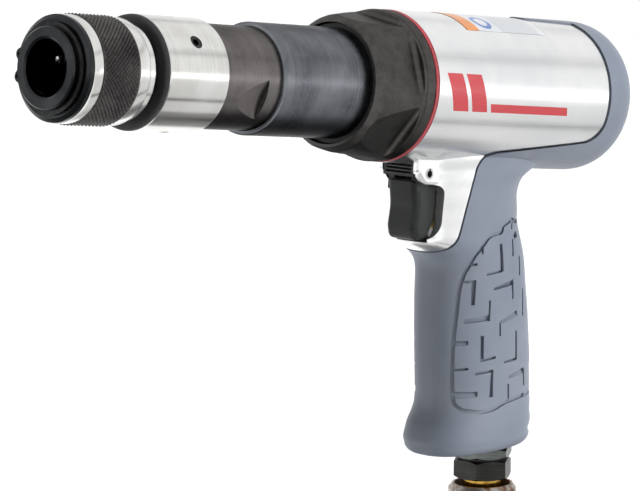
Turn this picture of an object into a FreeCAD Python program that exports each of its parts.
import FreeCAD, Part
import math
import os

from FreeCAD import Placement, Rotation, Vector

# Pneumatic rivet gun, pistol grip, with a quick-change tool retainer and an air coupler.
# Millimetres. +X runs out of the nose along the barrel, +Z is up, +Y is the left side.
# The origin is the centre of the nose's front face. Stations along the barrel are x values,
# so they fall from 0 at the nose to about -274.5 at the back.

# ---- tool retainer ----
TOOL_BORE_R = 9.4
TOOL_BORE_BACK_X = -12.8
CHAMBER_R = 9.6
MOUTH_BEVEL = (0.45, 0.8)
NOSE_R = 13.4
NOSE_FLANGE_R = 15.6
NOSE_FLANGE_X = (-45.0, -41.0)
SNAP_GROOVE_X = (-3.0, -1.7)
SNAP_GROOVE_R = 12.4
SNAP_RING_R = 15.0
WASHER_X = (-5.2, -3.1)
WASHER_R = 17.3
SLEEVE_X = (-30.1, -5.3)
BAND_R = 17.5
KNURL_R = 18.0
KNURL_X = (-25.3, -9.4)
SLEEVE_SKIRT_X = -33.0
SLEEVE_SKIRT_R = 16.4
SLEEVE_LAND_R = 13.5
SLEEVE_SHOULDER_X = -19.0
SLEEVE_POCKET_R = 15.9
SLEEVE_TRAVEL = 2.8
BALL_R = 2.5
BALL_X = -15.0
BALL_COUNT = 4
BALL_ANGLE = 163.0
BALL_LOCKED_R = 10.72
BALL_TRAVEL = 1.2
BUMPER_X = (-40.5, -35.9)
BUMPER_R = 19.0
COLLAR_X = (-64.8, -37.3)
COLLAR_R = 19.05
COLLAR_THREAD_R = 15.9
SCREW_R = 2.4
SCREW_X = -51.5
SCREW_COUNT = 3
SCREW_ANGLE = 37.0

# ---- barrel and clamp nut ----
BARREL_X = (-204.0, -45.1)
BARREL_R = 17.5
BARREL_REAR_R = 17.0
BARREL_FLANGE_X = (-180.0, -174.2)
BARREL_FLANGE_R = 21.4
SHANK_BORE_R = 5.15
PISTON_BORE_R = 8.75
PISTON_BORE_X = (-196.0, -76.0)
WRENCH_FLAT_X = (-84.6, -70.5)
NOTCH_DEPTH = 1.6
WRENCH_FLAT_ANGLE = -23.0
SHROUD_X = (-150.0, -90.5)
SHROUD_R = 19.05
NUT_X = (-158.0, -131.9)
NUT_FRONT_R = 21.9
NUT_FLANGE_R = 26.4
NUT_MOUTH_R = 21.0
NUT_BORE_R = 19.25
NUT_HALF_FLATS = 23.1
NUT_FLAT_ANGLE = 20.0
NUT_SPIGOT_R = 22.6
NUT_SPIGOT_X = -174.0
WIPER_X = (-139.0, -133.6)
RED_RING_X = (-159.5, -158.1)
RED_RING_R = 26.5

# ---- piston, cycle valve and rear buffer ----
PISTON_X = (-190.0, -140.0)
STACK_R = 21.0
CASE_X = (-213.0, -204.1)
CASE_POCKET_X = -210.2
CASE_POCKET_R = 12.4
CASE_PORT_R = 1.5
CASE_PORT_CIRCLE_R = 8.0
PLATE_X = (-213.0, -211.5)
PLATE_R = 11.6
PLATE_HOLE_R = 3.4
CAP_X = (-222.0, -213.1)
CAP_WEB_X = -217.5
CAP_HOLE_R = 3.2
CAP_RIM_R = 17.0
DOWEL_X = (-217.3, -204.3)
DOWEL_R = 1.2
DOWEL_Y = 15.0
WASHER_SPRING_X = (-226.6, -222.1)
REAR_BUFFER_X = (-233.5, -226.7)
REAR_BUFFER_R = 20.6
REAR_BUFFER_HOLE_R = 6.0

# ---- housing and overmoulded grip ----
BODY_R = 26.6
BODY_FRONT_X = -159.6
GRIP_BODY_R = 27.2
DOME_X = -257.0
DOME_LENGTH = 17.5
SKIN = 3.0
CAVITY_R = 21.6
CAVITY_X = -246.0
PARTING_GAP = 0.7
LEAN = 6.5
FOOT = Vector(-228.9, 0, -127.3)
SECTION_POWER = 2.45
# handle sections: height above the foot, front, back, half width
HANDLE = (
    (0.0, 34.8, -17.0, 16.7),
    (8.0, 34.9, -17.6, 16.6),
    (14.0, 31.7, -17.9, 16.0),
    (20.0, 29.8, -18.0, 15.3),
    (31.0, 30.2, -18.1, 15.0),
    (45.0, 30.5, -17.2, 15.0),
    (56.0, 30.3, -15.9, 15.0),
    (66.0, 29.8, -14.6, 15.0),
    (71.0, 31.4, -13.8, 14.9),
    (78.0, 40.6, -12.5, 14.5),
    (81.0, 41.3, -11.8, 14.3),
    (92.0, 41.3, -11.6, 14.1),
    (97.0, 41.3, -15.2, 14.3),
    (101.0, 41.3, -23.0, 14.6),
    (105.0, 41.3, -28.0, 14.9),
    (119.0, 41.3, -29.0, 14.9),
)
SECTION_STEP = 3.5
FOOT_ROUND = 4.0

# ---- trigger and throttle ----
PIN_AT = Vector(-176.9, 0, -29.6)
PIN_R = 2.0
EAR_HALF_WIDTH = 9.8
SLOT_HALF_WIDTH = 7.25
EAR_FRONT_X = -171.0
EAR_LOW_Z = -33.5
CHEEK_X = -184.3
SLOT_BACK_X = -190.5
SLOT_TOP_Z = -25.6
LIP_TOP_Z = -54.6
TRIGGER_HALF_WIDTH = 6.95
THROTTLE_Z = -43.0
THROTTLE_BORE_R = 6.5
GUIDE_X = (-199.5, -190.6)
GUIDE_GROOVE_X = (-197.2, -194.0)
STEM_R = 2.0
STEM_TIP_X = -184.45
STEM_HEAD_X = (-204.0, -200.6)
STEM_HEAD_R = 5.0
STEM_PILOT_R = 1.6
SEAL_X = (-200.5, -199.6)
SEAL_HOLE_R = 3.2
THROTTLE_SPRING_X = (-215.5, -204.1)
THROTTLE_SPRING_R = 3.4
EXHAUST_HALF_WIDTH = 4.0
LOUVRE_X = (-173.3, -171.4)

# ---- air inlet, plug and coupler, stations along the leaning inlet axis below the foot ----
HEX_HALF_FLATS = 9.525
HEX_ANGLE = 30.0
LOCKNUT_Z = (-4.6, -1.0)
BUSHING_Z = (-12.4, -5.4)
INLET_THREAD_R = 8.75
INLET_BORE_R = 7.2
PLUG_NECK_R = 7.0
COUPLER_TOP_Z = -14.6
COUPLER_R = 12.3
COUPLER_TRAVEL = 3.0
COUPLER_BODY_R = 8.2
COUPLER_FLANGE_Z = -40.0
COUPLER_SHOULDER_Z = -27.2
COUPLER_BALL_R = 1.6
COUPLER_BALL_Z = -24.4
COUPLER_BALL_LOCKED_R = 6.55
COUPLER_HEX_HALF_FLATS = 10.3
PLUG_R = 6.0
PLUG_GROOVE_R = 4.75
PLUG_END_Z = -36.0
AIR_PORT_R = 5.6
AIR_PORT_TOP_Z = -49.0

# ---- springs ----
COIL_RUNS_PER_TURN = 16

# ---- top label ----
LABEL_X = (-226.5, -184.0)
LABEL_LOW_ANGLE = 54.0


def corner_arc(before, corner, after, radius):
    """Tangent points and mid point of the arc that rounds one corner of a flat outline."""
    to_before = (before - corner).normalize()
    to_after = (after - corner).normalize()
    half = to_before.getAngle(to_after) / 2
    reach = radius / math.tan(half)
    middle = (to_before + to_after).normalize()
    centre = corner + middle * (radius / math.sin(half))
    return corner + to_before * reach, centre - middle * radius, corner + to_after * reach


def outline(points, lift):
    """Closed wire through (a, b) or (a, b, corner radius) points; lift maps (a, b) into space."""
    corners = [lift(p[0], p[1]) for p in points]
    edges = []
    ends = []
    for i, point in enumerate(points):
        radius = point[2] if len(point) > 2 else 0
        if radius:
            start, mid, end = corner_arc(corners[i - 1], corners[i], corners[(i + 1) % len(points)], radius)
            edges.append(Part.Arc(start, mid, end).toShape())
            ends.append((start, end))
        else:
            ends.append((corners[i], corners[i]))
    for i in range(len(points)):
        start, end = ends[i - 1][1], ends[i][0]
        if start.distanceToPoint(end) > 1e-6:
            edges.append(Part.makeLine(start, end))
    return Part.Wire(Part.__sortEdges__(edges))


def turned(points):
    """Solid of revolution about the barrel axis, from (x, r) points."""
    face = Part.Face(outline(points, lambda a, b: Vector(a, 0, b)))
    return face.revolve(Vector(0, 0, 0), Vector(1, 0, 0), 360)


def lathe(points):
    """Solid of revolution about the local Z axis, from (z, r) points."""
    face = Part.Face(outline(points, lambda a, b: Vector(b, 0, a)))
    return face.revolve(Vector(0, 0, 0), Vector(0, 0, 1), 360)


def side_prism(points, half_width, centre_y=0.0):
    """Side-view outline of (x, z) points, extruded to both sides of a plane across Y."""
    wire = outline(points, lambda a, b: Vector(a, centre_y - half_width, b))
    return Part.Face(wire).extrude(Vector(0, 2 * half_width, 0))


def rod(x_range, r, y=0.0, z=0.0):
    return Part.makeCylinder(r, x_range[1] - x_range[0], Vector(x_range[0], y, z), Vector(1, 0, 0))


def tube(x_range, outer, inner, y=0.0, z=0.0):
    return rod(x_range, outer, y, z).cut(rod(x_range, inner, y, z))


def cross_rod(at, r, half_length):
    return Part.makeCylinder(r, 2 * half_length, at - Vector(0, half_length, 0), Vector(0, 1, 0))


def radial(angle):
    """Unit vector square to the barrel axis; 0 points to +Y and 90 to +Z."""
    return Vector(0, math.cos(math.radians(angle)), math.sin(math.radians(angle)))


def box(low, high):
    size = Vector(*high) - Vector(*low)
    return Part.makeBox(size.x, size.y, size.z, Vector(*low))


def hex_prism(half_flats, z_range, angle=0.0):
    """Hexagon bar along local Z with both ends chamfered like a nut."""
    corner = half_flats / math.cos(math.pi / 6)
    ring = [Vector(corner * math.cos(math.radians(angle + 60 * k)),
                   corner * math.sin(math.radians(angle + 60 * k)), z_range[0]) for k in range(7)]
    bar = Part.Face(Part.makePolygon(ring)).extrude(Vector(0, 0, z_range[1] - z_range[0]))
    bevel = corner - half_flats
    low, high = z_range
    turned_blank = lathe([(low, 0), (low, half_flats), (low + bevel * 0.6, corner),
                          (high - bevel * 0.6, corner), (high, half_flats), (high, 0)])
    return bar.common(turned_blank)


def coil_spring(low, high, radius, wire_r, turns):
    """Spring along local Z, of short mitred runs of round wire, whose end turns touch low and high."""
    start = low + wire_r
    rise = high - low - 2 * wire_r
    count = turns * COIL_RUNS_PER_TURN
    path = []
    for k in range(count + 1):
        angle = 2 * math.pi * k / COIL_RUNS_PER_TURN
        path.append(Vector(radius * math.cos(angle), radius * math.sin(angle), start + rise * k / count))
    section = Part.Wire(Part.makeCircle(wire_r, path[0], path[1] - path[0]))
    mitred = 1
    return Part.makePolygon(path).makePipeShell([section], True, False, mitred)


def along_barrel(shape, x):
    """Local +Z turned to +X and moved to station x."""
    moved = shape.copy()
    moved.Placement = Placement(Vector(x, 0, 0), Rotation(Vector(0, 1, 0), 90))
    return moved


def on_inlet(shape):
    """Local frame of the inlet axis placed at the foot of the handle."""
    moved = shape.copy()
    moved.Placement = Placement(FOOT, Rotation(Vector(0, 1, 0), LEAN))
    return moved


# ---------------------------------------------------------------- retainer

def retainer_body():
    nose = turned([
        (0, TOOL_BORE_R + MOUTH_BEVEL[1]), (0, NOSE_R - 0.5), (-0.5, NOSE_R),
        (SNAP_GROOVE_X[1], NOSE_R), (SNAP_GROOVE_X[1], SNAP_GROOVE_R),
        (SNAP_GROOVE_X[0], SNAP_GROOVE_R), (SNAP_GROOVE_X[0], NOSE_R),
        (NOSE_FLANGE_X[1], NOSE_R), (NOSE_FLANGE_X[1], NOSE_FLANGE_R),
        (NOSE_FLANGE_X[0], NOSE_FLANGE_R), (NOSE_FLANGE_X[0], CHAMBER_R),
        (TOOL_BORE_BACK_X, CHAMBER_R), (TOOL_BORE_BACK_X, TOOL_BORE_R), (-MOUTH_BEVEL[0], TOOL_BORE_R)])
    for k in range(BALL_COUNT):
        way = radial(BALL_ANGLE + 360 / BALL_COUNT * k)
        pocket = Part.makeCylinder(BALL_R + 0.06, 6, Vector(BALL_X, 0, 0) + way * 9.9, way)
        seat = Part.makeSphere(BALL_R + 0.06, Vector(BALL_X, 0, 0) + way * BALL_LOCKED_R)
        nose = nose.cut(pocket.fuse(seat))
    return nose


def nose_snap_ring():
    ring = tube((SNAP_GROOVE_X[0] + 0.1, SNAP_GROOVE_X[1] - 0.1), SNAP_RING_R, SNAP_GROOVE_R + 0.1)
    gap = box((-4, -20, -1.6), (0, -SNAP_GROOVE_R + 3, 1.6))
    ring = ring.cut(gap)
    for side in (-1, 1):
        lug = rod((SNAP_GROOVE_X[0] + 0.1, SNAP_GROOVE_X[1] - 0.1), 2.0, -SNAP_RING_R + 1.2, side * 3.6)
        eye = rod((-4, 0), 0.6, -SNAP_RING_R + 0.5, side * 3.6)
        ring = ring.fuse(lug.cut(rod((-4, 0), NOSE_R + 0.05))).cut(eye)
    return ring.removeSplitter()


def stop_washer():
    return turned([(WASHER_X[1], NOSE_R + 0.1), (WASHER_X[1], WASHER_R - 1.4), (WASHER_X[1] - 0.9, WASHER_R),
                   (WASHER_X[0], WASHER_R), (WASHER_X[0], NOSE_R + 0.1)])


def release_sleeve():
    front, back = SLEEVE_X[1], SLEEVE_X[0]
    land_front = BALL_X
    ramp = BALL_TRAVEL + 0.35
    sleeve = turned([
        (front, SLEEVE_LAND_R), (front, BAND_R - 0.5), (front - 0.5, BAND_R),
        (KNURL_X[1] + 0.3, BAND_R), (KNURL_X[1], BAND_R - 0.4), (KNURL_X[1] - 0.3, KNURL_R),
        (KNURL_X[0] + 0.3, KNURL_R), (KNURL_X[0], BAND_R - 0.4), (KNURL_X[0] - 0.3, BAND_R),
        (back + 0.5, BAND_R), (back, BAND_R - 0.5), (back, SLEEVE_SKIRT_R),
        (SLEEVE_SKIRT_X, SLEEVE_SKIRT_R), (SLEEVE_SKIRT_X, SLEEVE_POCKET_R),
        (SLEEVE_SHOULDER_X, SLEEVE_POCKET_R), (SLEEVE_SHOULDER_X, SLEEVE_LAND_R),
        (land_front, SLEEVE_LAND_R),
        (land_front + SLEEVE_TRAVEL, SLEEVE_LAND_R + ramp), (front - 2.2, SLEEVE_LAND_R + ramp),
        (front - 1.0, SLEEVE_LAND_R)])
    return sleeve


def sleeve_spring():
    seat = BUMPER_X[1]
    spring = coil_spring(0.05, SLEEVE_SHOULDER_X - seat - 0.05, NOSE_R + 1.05, 0.55, 5)
    return along_barrel(spring, seat)


def locking_ball(index):
    way = radial(BALL_ANGLE + 360 / BALL_COUNT * index)
    return Part.makeSphere(BALL_R, Vector(BALL_X, 0, 0) + way * BALL_LOCKED_R)


def bumper_ring():
    front, back = BUMPER_X[1], COLLAR_X[1] + 0.05
    return turned([(front, NOSE_R + 0.2), (front, BUMPER_R, 1.3), (back, BUMPER_R),
                   (back, COLLAR_THREAD_R - 0.1),
                   (BUMPER_X[0], COLLAR_THREAD_R - 0.1), (BUMPER_X[0], NOSE_R + 0.2)])


def set_screw_axis(index):
    return radial(SCREW_ANGLE + 360 / SCREW_COUNT * index)


def retainer_collar():
    front, back = COLLAR_X[1], COLLAR_X[0]
    collar = turned([(front, COLLAR_THREAD_R), (front, COLLAR_R - 0.4), (front - 0.4, COLLAR_R),
                     (back + 0.8, COLLAR_R), (back, COLLAR_R - 0.8), (back, COLLAR_THREAD_R)])
    for k in range(SCREW_COUNT):
        way = set_screw_axis(k)
        collar = collar.cut(Part.makeCylinder(SCREW_R, 8, Vector(SCREW_X, 0, 0) + way * 14, way))
    return collar


def socket_set_screw(way):
    start = COLLAR_THREAD_R + 0.02
    length = COLLAR_R - start - 0.25
    at = Vector(SCREW_X, 0, 0) + way * start
    body = Part.makeCylinder(SCREW_R - 0.03, length, at, way)
    body = body.makeChamfer(0.3, [max(body.Edges, key=lambda e: e.BoundBox.Center.dot(way))])
    socket = hex_prism(1.2, (0, 3))
    socket.Placement = Placement(at + way * (length - 1.7), Rotation(Vector(0, 0, 1), way))
    return body.cut(socket)


def set_screws():
    return Part.makeCompound([socket_set_screw(set_screw_axis(k)) for k in range(SCREW_COUNT)])


# ---------------------------------------------------------------- barrel and clamp nut

def barrel():
    front, back = BARREL_X[1], BARREL_X[0]
    shape = turned([
        (front, SHANK_BORE_R + 1.0), (front, COLLAR_THREAD_R - 0.6), (front - 0.6, COLLAR_THREAD_R - 0.05),
        (COLLAR_X[0] + 0.1, COLLAR_THREAD_R - 0.05), (COLLAR_X[0] - 0.2, COLLAR_THREAD_R - 0.05),
        (COLLAR_X[0] - 0.2, BARREL_R), (BARREL_FLANGE_X[1], BARREL_R), (BARREL_FLANGE_X[1], BARREL_FLANGE_R),
        (BARREL_FLANGE_X[0], BARREL_FLANGE_R), (BARREL_FLANGE_X[0], BARREL_REAR_R), (back, BARREL_REAR_R),
        (back, PISTON_BORE_R + 2.5), (PISTON_BORE_X[0], PISTON_BORE_R + 2.5),
        (PISTON_BORE_X[0], PISTON_BORE_R), (PISTON_BORE_X[1], PISTON_BORE_R),
        (PISTON_BORE_X[1] + 5, SHANK_BORE_R), (front - 1.0, SHANK_BORE_R)])
    for side in (0, 180):
        notch = side_prism([(WRENCH_FLAT_X[1], BARREL_R + 0.2), (WRENCH_FLAT_X[0], BARREL_R - NOTCH_DEPTH),
                            (WRENCH_FLAT_X[0], BARREL_R + 5), (WRENCH_FLAT_X[1], BARREL_R + 5)], 20)
        notch.rotate(Vector(0, 0, 0), Vector(1, 0, 0), WRENCH_FLAT_ANGLE + side - 90)
        shape = shape.cut(notch)
    for angle in (60, 180, 300):
        port = Part.makeCylinder(1.6, 12, Vector(-150, 0, 0) + radial(angle) * 8, radial(angle))
        shape = shape.cut(port)
    return shape


def barrel_shroud():
    front, back = SHROUD_X[1], SHROUD_X[0]
    inner = BARREL_R + 0.1
    return turned([(front, inner), (front, SHROUD_R, 1.2), (back, SHROUD_R), (back, inner)])


def wiper_ring():
    front, back = WIPER_X[1], WIPER_X[0]
    return turned([(front, SHROUD_R + 0.05), (front, NUT_MOUTH_R - 0.05, 0.6), (back, NUT_MOUTH_R - 0.05),
                   (back, SHROUD_R + 0.05)])


def clamp_nut():
    front, back = NUT_X[1], NUT_X[0]
    cone_end = back + 4.4
    nut = turned([
        (front, NUT_MOUTH_R), (front, NUT_FRONT_R), (front - 3.1, NUT_FRONT_R + 1.8, 4),
        (cone_end, NUT_FLANGE_R - 0.1), (cone_end, NUT_FLANGE_R), (back + 0.4, NUT_FLANGE_R),
        (back, NUT_FLANGE_R - 0.4),
        (back, NUT_SPIGOT_R), (NUT_SPIGOT_X + 0.6, NUT_SPIGOT_R), (NUT_SPIGOT_X, NUT_SPIGOT_R - 0.6),
        (NUT_SPIGOT_X, NUT_BORE_R), (WIPER_X[0] - 0.1, NUT_BORE_R), (WIPER_X[0] - 0.1, NUT_MOUTH_R)])
    cutter_length = front + 2 - (cone_end + 1.3)
    for k in range(6):
        angle = NUT_FLAT_ANGLE + 60 * k
        cutter = side_prism([(cone_end + 1.3, NUT_HALF_FLATS, 1.6), (front + 4, NUT_HALF_FLATS),
                             (front + 4, NUT_HALF_FLATS + 9), (cone_end + 1.3, NUT_HALF_FLATS + 9)],
                            cutter_length)
        cutter.rotate(Vector(0, 0, 0), Vector(1, 0, 0), angle - 90)
        nut = nut.cut(cutter)
    return nut


def red_seal_ring():
    return turned([(RED_RING_X[1], NUT_SPIGOT_R + 0.1), (RED_RING_X[1], RED_RING_R, 0.3),
                   (RED_RING_X[0], RED_RING_R, 0.3), (RED_RING_X[0], NUT_SPIGOT_R + 0.1)])


# ---------------------------------------------------------------- piston and cycle valve

def piston():
    r = PISTON_BORE_R - 0.05
    back, front = PISTON_X
    return turned([(back, 0), (back, r - 0.8), (back + 0.8, r), (back + 14, r), (back + 14.5, r - 0.5),
                   (back + 17.5, r - 0.5), (back + 18, r), (front - 12, r), (front - 10, SHANK_BORE_R + 1.2),
                   (front - 0.8, SHANK_BORE_R + 1.2), (front, SHANK_BORE_R + 0.4), (front, 0)])


def valve_case():
    back, front = CASE_X
    case = turned([(front, 0), (front, STACK_R), (back, STACK_R), (back, CASE_POCKET_R),
                   (CASE_POCKET_X, CASE_POCKET_R), (CASE_POCKET_X, 0)])
    for angle in range(0, 360, 60):
        port_at = radial(angle) * CASE_PORT_CIRCLE_R
        case = case.cut(rod((back - 1, front + 1), CASE_PORT_R, port_at.y, port_at.z))
    return case.cut(dowel_holes())


def cycle_valve():
    return tube(PLATE_X, PLATE_R, PLATE_HOLE_R)


def valve_cap():
    back, front = CAP_X
    cap = turned([(front, CAP_HOLE_R), (front, STACK_R), (back, STACK_R), (back, CAP_RIM_R),
                  (CAP_WEB_X, CAP_RIM_R), (CAP_WEB_X, CAP_HOLE_R)])
    return cap.cut(dowel_holes())


def dowel_holes():
    span = (CAP_WEB_X - 1, CASE_X[1] + 1)
    return rod(span, DOWEL_R + 0.05, DOWEL_Y).fuse(rod(span, DOWEL_R + 0.05, -DOWEL_Y))


def valve_dowels():
    return Part.makeCompound([rod(DOWEL_X, DOWEL_R, side * DOWEL_Y) for side in (-1, 1)])


def buffer_spring():
    """Cupped spring washer that holds the valve stack against the barrel."""
    back, front = WASHER_SPRING_X
    inner, lip = 9.0, 10.6
    return turned([(front, 15.5), (front, STACK_R), (front - 1.3, STACK_R), (back, lip), (back, inner),
                   (back + 1.2, inner)])


def rear_buffer():
    back, front = REAR_BUFFER_X
    return turned([(front, REAR_BUFFER_HOLE_R), (front, REAR_BUFFER_R, 1.5), (back, REAR_BUFFER_R, 1.5),
                   (back, REAR_BUFFER_HOLE_R)])


# ---------------------------------------------------------------- housing and grip

def handle_section(t, front, back, half_width):
    """Closed superellipse across the leaning handle axis, in the inlet's local frame."""
    centre = (front + back) / 2
    half_length = (front - back) / 2
    points = []
    for k in range(32):
        angle = 2 * math.pi * k / 32
        c, s = math.cos(angle), math.sin(angle)
        x = centre + half_length * math.copysign(abs(c) ** (2 / SECTION_POWER), c)
        y = half_width * math.copysign(abs(s) ** (2 / SECTION_POWER), s)
        points.append(Vector(x, y, t))
    curve = Part.BSplineCurve()
    curve.interpolate(Points=points, PeriodicFlag=True)
    return Part.Wire(curve.toShape())


def blended(rows, t, column):
    """Monotone cubic interpolation of one column of a table whose first column is t."""
    i = max(k for k in range(len(rows) - 1) if rows[k][0] <= t or k == 0)
    step = [rows[k + 1][0] - rows[k][0] for k in range(len(rows) - 1)]
    slope = [(rows[k + 1][column] - rows[k][column]) / step[k] for k in range(len(rows) - 1)]

    def tangent(k):
        if k in (0, len(rows) - 1) or slope[k - 1] * slope[k] <= 0:
            return 0.0
        return 2 * slope[k - 1] * slope[k] / (slope[k - 1] + slope[k])

    u = (t - rows[i][0]) / step[i]
    rise = rows[i + 1][column] - rows[i][column]
    ease = u * u * (3 - 2 * u)
    lead = tangent(i) * step[i] * u * (1 - u) ** 2
    return rows[i][column] + rise * ease + lead - tangent(i + 1) * step[i] * u * u * (1 - u)


def section_at(t, inset):
    """Handle section at one height, shrunk all round by the inset."""
    return handle_section(t, blended(HANDLE, t, 1) - inset, blended(HANDLE, t, 2) + inset,
                          blended(HANDLE, t, 3) - inset)


def handle_solid(inset):
    """Handle loft with a rounded foot; inset shrinks it all round for the metal core."""
    foot = []
    for k in range(7):
        turn = math.pi / 12 * k
        height = inset + FOOT_ROUND * (1 - math.cos(turn))
        foot.append(section_at(height, inset + FOOT_ROUND * (1 - math.sin(turn))))
    low = inset + FOOT_ROUND
    span = HANDLE[-1][0] - low
    count = round(span / SECTION_STEP)
    upper = [section_at(low + span * k / count, inset) for k in range(count + 1)]
    lower_solid = Part.makeLoft(foot, True, False, False, 3)
    upper_solid = Part.makeLoft(upper, True, False, False, 3)
    return on_inlet(upper_solid.fuse(lower_solid).removeSplitter())


def body_solid(r, back):
    """Cylinder with a domed back, the shape that both the housing and the grip follow."""
    length = DOME_X - back
    turns = [math.pi / 2 * k / 12 for k in range(12)]
    dome = [Vector(DOME_X - length * math.sin(a) ** 0.76, 0, r * math.cos(a) ** 0.76) for a in turns]
    dome.append(Vector(back, 0, 0))
    curve = Part.BSplineCurve()
    curve.interpolate(dome)
    front_low, front_high = Vector(BODY_FRONT_X, 0, 0), Vector(BODY_FRONT_X, 0, r)
    edges = [Part.makeLine(front_low, front_high), Part.makeLine(front_high, dome[0]), curve.toShape(),
             Part.makeLine(dome[-1], front_low)]
    return Part.Face(Part.Wire(edges)).revolve(Vector(0, 0, 0), Vector(1, 0, 0), 360)


def grey_region(grow):
    """Everything behind and below the parting line, as a slab across the whole width."""
    g = grow
    return side_prism([(-252.3 - g, 60), (-252.3 - g, -14.8 - g, 8), (-197.8 - g, -21.2 - g, 9),
                       (-189.6 - g, -58.2 - g, 11), (-150, -58.2 - g), (-150, -220), (-340, -220),
                       (-340, 60)], 60)


def top_tongue(grow):
    """Strip of the grip that runs forward along the top of the body."""
    half_front, half_back = 4.0 - grow, 7.0 - grow
    wire = outline([(-227.0 - grow, -half_front, 2.2), (-227.0 - grow, half_front, 2.2), (-254.5, half_back),
                    (-254.5, -half_back)], lambda a, b: Vector(a, b, 15))
    return Part.Face(wire).extrude(Vector(0, 0, 25))


def metal_core():
    return body_solid(BODY_R - SKIN, DOME_X - DOME_LENGTH + SKIN).fuse(handle_solid(SKIN))


def grip():
    outside = body_solid(GRIP_BODY_R, DOME_X - DOME_LENGTH).fuse(handle_solid(0))
    skin_zone = grey_region(PARTING_GAP).fuse(top_tongue(PARTING_GAP))
    shape = outside.common(skin_zone).cut(metal_core())
    return shape.cut(on_inlet(lathe([(-1, 0), (-1, 10.6), (SKIN + 0.5, 10.6), (SKIN + 0.5, 0)])))


def ears():
    low = side_prism([(-196, -18), (EAR_FRONT_X, -18), (EAR_FRONT_X, -29.4, 2.5), (-175.2, EAR_LOW_Z, 3),
                      (-196, EAR_LOW_Z)], EAR_HALF_WIDTH)
    on_front = [e for e in low.Edges if abs(e.BoundBox.Center.x - EAR_FRONT_X) < 0.01]
    upright = [e for e in on_front if e.BoundBox.YLength < 0.01]
    return low.makeFillet(1.2, upright)


def trigger_pocket():
    """Space in front of the cheeks that the trigger stands in, open to both sides."""
    return side_prism([(-150, EAR_LOW_Z), (CHEEK_X, EAR_LOW_Z, 3.0), (CHEEK_X - 0.4, LIP_TOP_Z, 8.0),
                       (-150, LIP_TOP_Z + 1.2)], 40)


def trigger_slot():
    """Slot between the ears and cheeks for the trigger, its hinge and the exhaust louvre."""
    return side_prism([(-150, SLOT_TOP_Z), (SLOT_BACK_X, SLOT_TOP_Z), (SLOT_BACK_X, LIP_TOP_Z + 0.4, 4.0),
                       (-150, LIP_TOP_Z + 1.2)], SLOT_HALF_WIDTH)


def housing_passages():
    """Throttle bore, air way up the handle, delivery port and exhaust port."""
    throttle = rod((-216, -188), THROTTLE_BORE_R, 0, THROTTLE_Z)
    air_way = on_inlet(lathe([(-10, 0), (-10, INLET_THREAD_R + 0.05), (16, INLET_THREAD_R + 0.05), (16, 5.5),
                              (88, 5.5), (88, 0)]))
    delivery = Part.makeCylinder(3.0, 24, Vector(-198, 0, THROTTLE_Z), Vector(0, 0, 1))
    exhaust = box((-181, -EXHAUST_HALF_WIDTH, -28), (NUT_SPIGOT_X - 0.6, EXHAUST_HALF_WIDTH, -18))
    return throttle.fuse([air_way, delivery, exhaust])


def housing():
    silver = body_solid(BODY_R, DOME_X - DOME_LENGTH).fuse(handle_solid(0)).fuse(ears())
    silver = silver.cut(grey_region(0).fuse(top_tongue(0)))
    shape = silver.fuse(metal_core())
    shape = shape.cut(trigger_pocket()).cut(trigger_slot().cut(rod((-170.9, -100), BODY_R + 0.01)))
    bores = turned([(-150, 0), (-150, NUT_SPIGOT_R + 0.05), (NUT_SPIGOT_X - 0.2, NUT_SPIGOT_R + 0.05),
                    (NUT_SPIGOT_X - 0.2, CAVITY_R), (CAVITY_X, CAVITY_R), (CAVITY_X, 0)])
    shape = shape.cut(bores)
    shape = shape.cut(housing_passages())
    return shape.cut(cross_rod(PIN_AT, PIN_R, 20))


# ---------------------------------------------------------------- trigger and throttle

def trigger():
    x, z = PIN_AT.x, PIN_AT.z
    pad = side_prism([(-173.0, -32.4, 0.8), (-174.9, -41.5, 14), (-174.2, -49.0, 5), (-175.6, -53.4, 2.2),
                      (-182.5, -53.2, 3), (-184.3, -49.0), (-184.3, -34.3, 2.0), (-181.0, -32.4)],
                     TRIGGER_HALF_WIDTH)
    front = [e for e in pad.Edges if e.BoundBox.Center.x > -176.5 and e.BoundBox.YLength < 0.01]
    pad = pad.makeFillet(2.4, front)
    hub = cross_rod(PIN_AT, 3.4, TRIGGER_HALF_WIDTH)
    web = box((x - 3.4, -TRIGGER_HALF_WIDTH, -36), (x + 2.6, TRIGGER_HALF_WIDTH, z))
    fork = box((x - 5, -EXHAUST_HALF_WIDTH, -32.3), (x + 5, EXHAUST_HALF_WIDTH, -20))
    return pad.fuse([hub, web]).cut(cross_rod(PIN_AT, PIN_R + 0.05, 20)).cut(fork).removeSplitter()


def trigger_pin():
    pin = cross_rod(PIN_AT, PIN_R - 0.01, EAR_HALF_WIDTH + 0.1)
    bore = cross_rod(PIN_AT, PIN_R - 0.7, 20)
    slit = box((PIN_AT.x - 0.35, -20, PIN_AT.z), (PIN_AT.x + 0.35, 20, PIN_AT.z + 4))
    return pin.cut(bore).cut(slit)


def exhaust_louvre():
    back, front = LOUVRE_X
    plate = box((back, -7.0, -31.0), (front, 7.0, SLOT_TOP_Z - 0.1))
    for k in range(4):
        z = -29.9 + 1.25 * k
        groove = side_prism([(back - 1, z + 0.9), (front - 0.4, z), (front + 1, z - 0.2),
                             (front + 1, z + 0.5), (front - 0.4, z + 0.65), (back - 1, z + 1.5)], 6.0)
        plate = plate.cut(groove)
    return plate


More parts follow.
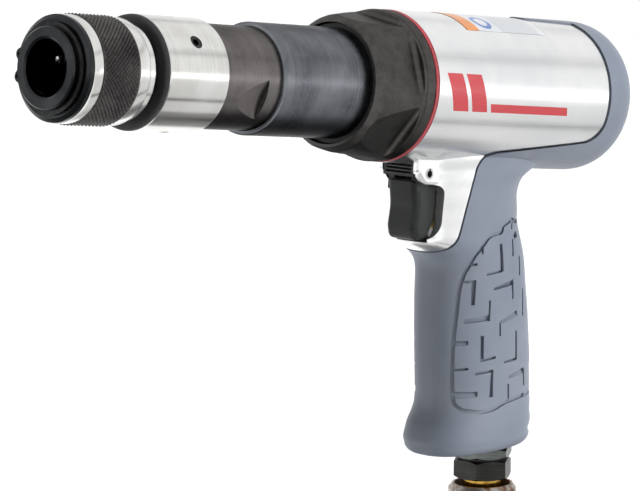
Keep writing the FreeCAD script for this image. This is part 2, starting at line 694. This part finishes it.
def throttle_bushing():
    """Guide of the stem, with a groove and a cross hole that let the air past."""
    shape = tube(GUIDE_X, THROTTLE_BORE_R - 0.02, STEM_R + 0.05, 0, THROTTLE_Z)
    shape = shape.cut(tube(GUIDE_GROOVE_X, THROTTLE_BORE_R + 1, 4.8, 0, THROTTLE_Z))
    shape = shape.cut(rod((GUIDE_X[0] - 0.1, GUIDE_GROOVE_X[1] - 0.5), SEAL_HOLE_R + 0.2, 0, THROTTLE_Z))
    middle = Vector((GUIDE_GROOVE_X[0] + GUIDE_GROOVE_X[1]) / 2, 0, THROTTLE_Z - 10)
    return shape.cut(Part.makeCylinder(1.5, 20, middle, Vector(0, 0, 1)))


def throttle_stem():
    head_back, head_front = STEM_HEAD_X
    stem = rod((head_front - 1, STEM_TIP_X), STEM_R, 0, THROTTLE_Z)
    tip = [e for e in stem.Edges if abs(e.BoundBox.Center.x - STEM_TIP_X) < 0.01]
    stem = stem.makeFillet(1.2, tip)
    head = rod(STEM_HEAD_X, STEM_HEAD_R, 0, THROTTLE_Z)
    pilot = rod((head_back - 3, head_back + 1), STEM_PILOT_R, 0, THROTTLE_Z)
    return stem.fuse(head).fuse(pilot)


def throttle_seal():
    return tube(SEAL_X, STEM_HEAD_R, SEAL_HOLE_R, 0, THROTTLE_Z)


def throttle_spring():
    back, front = THROTTLE_SPRING_X
    spring = along_barrel(coil_spring(0, front - back, THROTTLE_SPRING_R, 0.45, 5), back)
    spring.translate(Vector(0, 0, THROTTLE_Z))
    return spring


# ---------------------------------------------------------------- air inlet

def inlet_locknut():
    nut = hex_prism(HEX_HALF_FLATS + 0.2, LOCKNUT_Z, HEX_ANGLE)
    hole = INLET_THREAD_R + 0.05
    return on_inlet(nut.cut(lathe([(-20, 0), (-20, hole), (2, hole), (2, 0)])))


def inlet_bushing():
    low, high = BUSHING_Z
    body = hex_prism(HEX_HALF_FLATS, BUSHING_Z, HEX_ANGLE)
    shank = lathe([(low + 1, 0), (low + 1, 8.0), (high, 8.0), (high, INLET_THREAD_R), (15.5, INLET_THREAD_R),
                   (15.5, 0)])
    bore = lathe([(-40, 0), (-40, INLET_BORE_R), (10.6, INLET_BORE_R), (10.6, 4.5), (20, 4.5), (20, 0)])
    return on_inlet(body.fuse(shank).cut(bore))


def inlet_screen():
    disc = lathe([(9.6, 0), (9.6, 6.9), (10.4, 6.9), (10.4, 0)])
    for i in range(-3, 4):
        for j in range(-3, 4):
            if math.hypot(i, j) * 1.7 < 6.0:
                disc = disc.cut(Part.makeCylinder(0.55, 2, Vector(1.7 * i, 1.7 * j, 9), Vector(0, 0, 1)))
    return on_inlet(disc)


def air_plug():
    """Male quick-connect plug screwed into the bushing."""
    ball_z = COUPLER_BALL_Z
    shape = lathe([(8.0, 0), (8.0, INLET_BORE_R - 0.05), (BUSHING_Z[0] - 0.1, INLET_BORE_R - 0.05),
                   (BUSHING_Z[0] - 0.4, PLUG_NECK_R), (-16.6, PLUG_NECK_R, 0.6), (-18.0, PLUG_R),
                   (ball_z + 2.4, PLUG_R), (ball_z + 1.3, PLUG_GROOVE_R), (ball_z - 1.3, PLUG_GROOVE_R),
                   (ball_z - 2.4, PLUG_R), (-33.0, PLUG_R), (-34.0, 5.0), (PLUG_END_Z, 5.0),
                   (PLUG_END_Z, 0)])
    return on_inlet(shape.cut(lathe([(-40, 0), (-40, 3.5), (9.2, 3.5), (9.2, 0)])))


def coupler_ball_way(index):
    angle = 2 * math.pi / BALL_COUNT * index
    return Vector(math.cos(angle), math.sin(angle), 0)


def coupler_body():
    wall, bore = COUPLER_BODY_R, PLUG_R + 0.05
    shape = lathe([(-19.0, bore), (-19.0, wall), (-20.0, wall), (-20.0, wall - 0.5), (-21.0, wall - 0.5),
                   (-21.0, wall), (COUPLER_FLANGE_Z, wall), (COUPLER_FLANGE_Z, 10.8, 0.4),
                   (-44.0, 10.8, 0.4), (-44.0, wall), (-48.0, wall), (-48.0, 6.9), (-33.2, 6.9),
                   (-33.2, bore)])
    shape = shape.fuse(hex_prism(COUPLER_HEX_HALF_FLATS, (-60.0, -45.5), 15))
    shape = shape.cut(lathe([(-70, 0), (-70, AIR_PORT_R + 0.9), (-60.0, AIR_PORT_R + 0.9),
                             (-59.1, AIR_PORT_R), (AIR_PORT_TOP_Z, AIR_PORT_R), (AIR_PORT_TOP_Z, 4.6),
                             (-44.5, 4.6), (-44.5, 6.9), (-40, 6.9), (-40, 0)]))
    for k in range(BALL_COUNT):
        way = coupler_ball_way(k)
        at = Vector(0, 0, COUPLER_BALL_Z)
        pocket = Part.makeCylinder(COUPLER_BALL_R + 0.06, 5, at + way * 5.6, way)
        shape = shape.cut(pocket)
    seal_groove = lathe([(-31.3, bore - 0.5), (-31.3, 7.4), (-29.5, 7.4), (-29.5, bore - 0.5)])
    return on_inlet(shape.cut(seal_groove))


def coupler_ball(index):
    at = coupler_ball_way(index) * COUPLER_BALL_LOCKED_R + Vector(0, 0, COUPLER_BALL_Z)
    return on_inlet(Part.makeSphere(COUPLER_BALL_R, at))


def coupler_sleeve():
    top, land = COUPLER_TOP_Z, COUPLER_BODY_R + 0.1
    ball_z = COUPLER_BALL_Z
    ramp = 0.6 * COUPLER_TRAVEL
    grooves = [(-20.0 - 3.0 * k, COUPLER_R) for k in range(6)]
    side = []
    for z, r in grooves:
        side += [(z, r), (z - 0.5, r - 0.5), (z - 1.1, r - 0.5), (z - 1.6, r)]
    shape = lathe([(top, 10.2), (top, 11.0), (top - 1.8, COUPLER_R)] + side + [
        (-39.6, COUPLER_R), (-41.0, 11.6), (-41.0, 10.9), (COUPLER_SHOULDER_Z, 10.9),
        (COUPLER_SHOULDER_Z, land), (ball_z, land),
        (ball_z + COUPLER_TRAVEL, land + ramp), (top - 4.5, land + ramp), (top - 3.5, 10.2)])
    return on_inlet(shape)


def coupler_spring():
    return on_inlet(coil_spring(COUPLER_FLANGE_Z + 0.05, COUPLER_SHOULDER_Z - 0.05, 9.6, 0.45, 6))


def coupler_snap_ring():
    inner, outer = COUPLER_BODY_R - 0.45, 9.5
    ring = lathe([(-20.05, inner), (-20.05, outer), (-20.95, outer), (-20.95, inner)])
    return on_inlet(ring.cut(box((0, -1.2, -22), (12, 1.2, -19))))


def coupler_seal():
    inner, outer = PLUG_R + 0.02, 7.35
    return on_inlet(lathe([(-29.6, inner), (-29.6, outer, 0.4), (-31.2, outer, 0.4), (-31.2, inner)]))


def coupler_valve():
    """Shut-off poppet, held open by the end of the plug."""
    shape = lathe([(PLUG_END_Z - 0.1, 0), (PLUG_END_Z - 0.1, 5.6), (-38.0, 6.6), (-38.6, 6.6), (-38.6, 2.2),
                   (-42.0, 2.2), (-42.0, 0)])
    for k in range(4):
        way = coupler_ball_way(k + 0.5)
        shape = shape.cut(Part.makeCylinder(1.3, 10, way * 4.0 + Vector(0, 0, -45), Vector(0, 0, 1)))
    return on_inlet(shape)


def coupler_valve_spring():
    return on_inlet(coil_spring(-44.45, -38.65, 5.6, 0.4, 3))


def rating_label():
    """Thin adhesive label wrapped over the top of the body."""
    ring = tube(LABEL_X, BODY_R + 0.15, BODY_R + 0.02)
    reach = BODY_R + 5
    low = reach * math.tan(math.radians(90 - LABEL_LOW_ANGLE))
    wedge = outline([(0, 0), (-low, reach), (low, reach)], lambda a, b: Vector(LABEL_X[0] - 1, a, b))
    return ring.common(Part.Face(wedge).extrude(Vector(LABEL_X[1] - LABEL_X[0] + 2, 0, 0)))


NODES = {
    "retainer_body": retainer_body,
    "nose_snap_ring": nose_snap_ring,
    "stop_washer": stop_washer,
    "release_sleeve": release_sleeve,
    "sleeve_spring": sleeve_spring,
    "bumper_ring": bumper_ring,
    "retainer_collar": retainer_collar,
    "set_screws": set_screws,
    "barrel": barrel,
    "barrel_shroud": barrel_shroud,
    "wiper_ring": wiper_ring,
    "clamp_nut": clamp_nut,
    "red_seal_ring": red_seal_ring,
    "piston": piston,
    "valve_case": valve_case,
    "cycle_valve": cycle_valve,
    "valve_cap": valve_cap,
    "valve_dowels": valve_dowels,
    "buffer_spring": buffer_spring,
    "rear_buffer": rear_buffer,
    "housing": housing,
    "grip": grip,
    "trigger": trigger,
    "trigger_pin": trigger_pin,
    "exhaust_louvre": exhaust_louvre,
    "throttle_bushing": throttle_bushing,
    "throttle_stem": throttle_stem,
    "throttle_seal": throttle_seal,
    "throttle_spring": throttle_spring,
    "inlet_locknut": inlet_locknut,
    "inlet_bushing": inlet_bushing,
    "inlet_screen": inlet_screen,
    "air_plug": air_plug,
    "coupler_body": coupler_body,
    "coupler_sleeve": coupler_sleeve,
    "coupler_spring": coupler_spring,
    "coupler_snap_ring": coupler_snap_ring,
    "coupler_seal": coupler_seal,
    "coupler_valve": coupler_valve,
    "coupler_valve_spring": coupler_valve_spring,
    "rating_label": rating_label,
}
for k in range(BALL_COUNT):
    NODES["locking_ball_%d" % (k + 1)] = lambda k=k: locking_ball(k)
    NODES["coupler_ball_%d" % (k + 1)] = lambda k=k: coupler_ball(k)

os.makedirs("parts", exist_ok=True)
for name, make in NODES.items():
    shape = make()
    print(name, "valid", shape.isValid(), "solids", len(shape.Solids), "volume %.1f" % shape.Volume)
    shape.exportStep("parts/%s.step" % name)
